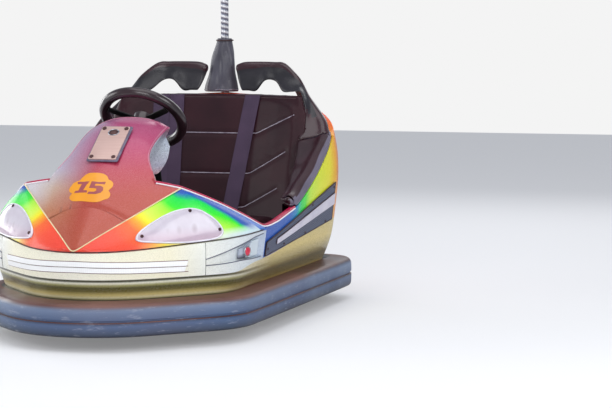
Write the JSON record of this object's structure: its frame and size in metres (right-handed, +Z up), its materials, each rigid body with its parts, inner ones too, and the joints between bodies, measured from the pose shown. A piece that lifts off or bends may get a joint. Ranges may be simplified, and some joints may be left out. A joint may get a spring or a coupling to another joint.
{
  "type": "bumper car",
  "caption": "Fairground bumper car for two riders: rubber ring bumper, moulded body, padded seat with grab arches, steered drive unit and current pole.",
  "frame": {"origin": "floor level under the middle of the bumper's bounding box", "axes": "-Y is the front of the car, +X the driver's left, +Z up"},
  "size_m": [1.15, 1.95, 2.85],
  "materials": {
    "bumper_rubber": "scuffed",
    "black_steel": "satin",
    "grey_steel": "satin",
    "motor_paint": "rough",
    "tyre": "worn",
    "bare_steel": "satin",
    "gold_flake": "metal flake",
    "pale_gold": "gloss",
    "white_lens": "gloss",
    "silver_paint": "gloss",
    "red_lens": "gloss",
    "red_flake": "metal flake",
    "frosted_lens": "gloss",
    "pink_flake": "metal flake",
    "coin_metal": "brushed",
    "side_paint": "gloss",
    "ribbed_grey": "ribbed",
    "floor_liner": "worn",
    "black_mesh": "matt",
    "seat_vinyl": "grained",
    "pad_vinyl": "grained",
    "belt_webbing": "woven",
    "boot_leather": "wrinkled",
    "pole_steel": "gloss",
    "brass": "worn",
    "wheel_grip": "grained"
  },
  "bodies": {
    "car": {"bumper_rubber": "bumper_rubber", "bumper_channel": "black_steel", "chassis": "black_steel", "rear_axle": "bare_steel", "belly_shell": "gold_flake", "front_band": "pale_gold", "front_light_bars": "white_lens", "corner_left": "silver_paint", "corner_right": "silver_paint", "corner_lamp_left": "red_lens", "corner_lamp_right": "red_lens", "bonnet": "red_flake", "headlamp_lens_left": "frosted_lens", "headlamp_lens_right": "frosted_lens", "pod": "pink_flake", "coin_plate": "coin_metal", "side_shell_left": "side_paint", "side_shell_right": "side_paint", "rear_shell": "side_paint", "side_panel_left": "ribbed_grey", "side_panel_right": "ribbed_grey", "side_light_left": "white_lens", "side_light_right": "white_lens", "floor_pan": "floor_liner", "cockpit_liner": "floor_liner", "mesh_bulkhead": "black_mesh", "dash_panel": "floor_liner", "pedal": "grey_steel", "seat_cushion": "seat_vinyl", "backrest": "seat_vinyl", "arm_pad_left": "pad_vinyl", "arm_pad_right": "pad_vinyl", "grab_arch_left": "pad_vinyl", "grab_arch_right": "pad_vinyl", "lap_belts": "belt_webbing", "pole_boot": "boot_leather", "pole": "pole_steel", "contact_head": "brass", "steering_column": "black_steel"},
    "steering": {"steering_wheel": "wheel_grip"},
    "drive_unit": {"drive_fork": "grey_steel", "drive_motor": "motor_paint"},
    "drive_wheel": {"drive_wheel": "tyre"},
    "rear_wheel_left": {"rear_wheel_left": "tyre"},
    "rear_wheel_right": {"rear_wheel_right": "tyre"}
  },
  "joints": [
    {"name": "steering_turn", "type": "hinge", "parent": "car", "child": "steering", "pos_m": [0, -0.175, 0.83], "axis": [0, 0.682, 0.7314], "range_deg": [-180, 180]},
    {"name": "drive_steer", "type": "hinge", "parent": "car", "child": "drive_unit", "pos_m": [0, -0.52, 0.3], "axis": [0, 0, 1], "range_deg": [-180, 180]},
    {"name": "drive_roll", "type": "hinge", "parent": "drive_unit", "child": "drive_wheel", "pos_m": [0, -0.52, 0.13], "axis": [1, 0, 0], "continuous": true},
    {"name": "rear_roll_left", "type": "hinge", "parent": "car", "child": "rear_wheel_left", "pos_m": [0.33, 0.5, 0.1], "axis": [1, 0, 0], "continuous": true},
    {"name": "rear_roll_right", "type": "hinge", "parent": "car", "child": "rear_wheel_right", "pos_m": [-0.33, 0.5, 0.1], "axis": [1, 0, 0], "continuous": true}
  ],
  "couplings": [
    {"joint": "drive_steer", "follows": "steering_turn", "ratio": 1}
  ]
}
